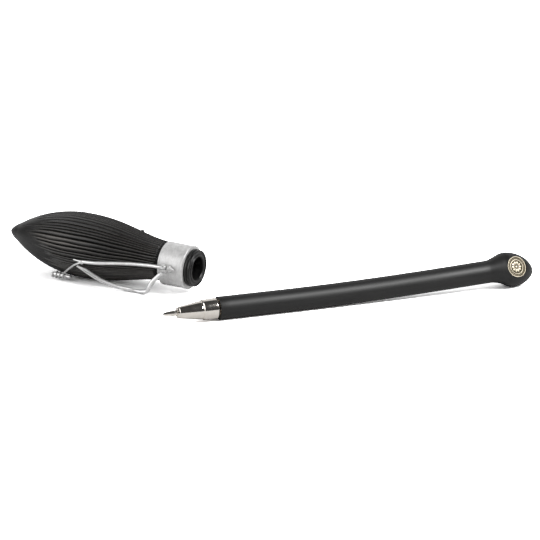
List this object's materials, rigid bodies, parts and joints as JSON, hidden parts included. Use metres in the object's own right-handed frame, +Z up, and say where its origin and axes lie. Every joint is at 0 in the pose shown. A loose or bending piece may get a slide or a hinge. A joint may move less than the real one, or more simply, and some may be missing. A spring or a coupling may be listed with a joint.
{
  "type": "ballpoint pen",
  "caption": "Broom-shaped ballpoint pen with a screw-off nose cone and a refill, its pull-off cap beside it: fluted head, collar, socket and bent-wire clip.",
  "frame": {"origin": "middle of the footprint of the pen and its cap as they lie, on the table's surface", "axes": "+X in plan along the bore of the cap, out of its mouth; +Z up from the table; the handle lies at 48.4 degrees to +X, towards +Y"},
  "size_m": [0.2086, 0.1232, 0.0276],
  "materials": {
    "black_lacquer": "satin",
    "black_bristle": "satin",
    "black_socket": "semi-gloss",
    "silver_cast": "satin",
    "bright_wire": "polished",
    "nickel": "polished",
    "brass": "satin",
    "refill_steel": "satin",
    "carbide": "polished",
    "pale_plastic": "natural",
    "ink": "wet",
    "black_rubber": "matt"
  },
  "bodies": {
    "pen": {"handle": "black_lacquer", "barrel_bush": "brass", "medallion": "brass"},
    "refill": {"refill_tube": "refill_steel", "refill_point": "nickel", "refill_crown": "pale_plastic", "ink_column": "ink", "point_spring": "bright_wire"},
    "ball": {"writing_ball": "carbide"},
    "nose": {"nose_cone": "nickel"},
    "cap": {"bristle_head": "black_bristle", "collar": "silver_cast", "cap_socket": "black_socket", "grip_ring": "black_rubber", "clip_bracket": "silver_cast", "clip_rivet": "bright_wire", "clip_pin": "bright_wire"},
    "clip": {"clip_frame": "bright_wire", "clip_foot": "bright_wire"}
  },
  "joints": [
    {"name": "refill_draw", "type": "slide", "parent": "pen", "child": "refill", "axis": [-0.6639, -0.7478, 0], "range_m": [0, 0.006]},
    {"name": "nose_turn", "type": "hinge", "parent": "refill", "child": "nose", "pos_m": [-0.00522, -0.06106, 0.00474], "axis": [0.6639, 0.7478, 0], "range_deg": [0, 2880]},
    {"name": "ball_roll", "type": "hinge", "parent": "refill", "child": "ball", "pos_m": [-0.00522, -0.06106, 0.00474], "axis": [-0.7478, 0.6639, 0], "continuous": true},
    {"name": "cap_slide", "type": "slide", "parent": "pen", "child": "cap", "axis": [-0.9987, 0, 0.0502], "range_m": [0, 0.04]},
    {"name": "clip_lift", "type": "hinge", "parent": "cap", "child": "clip", "pos_m": [-0.02531, -0.02599, 0.01127], "axis": [0.0502, 0, 0.9987], "range_deg": [0, 8], "stiffness_Nm_per_rad": 0.5}
  ],
  "couplings": [
    {"joint": "nose_turn", "follows": "refill_draw", "rad_per_m": 8377.6}
  ]
}
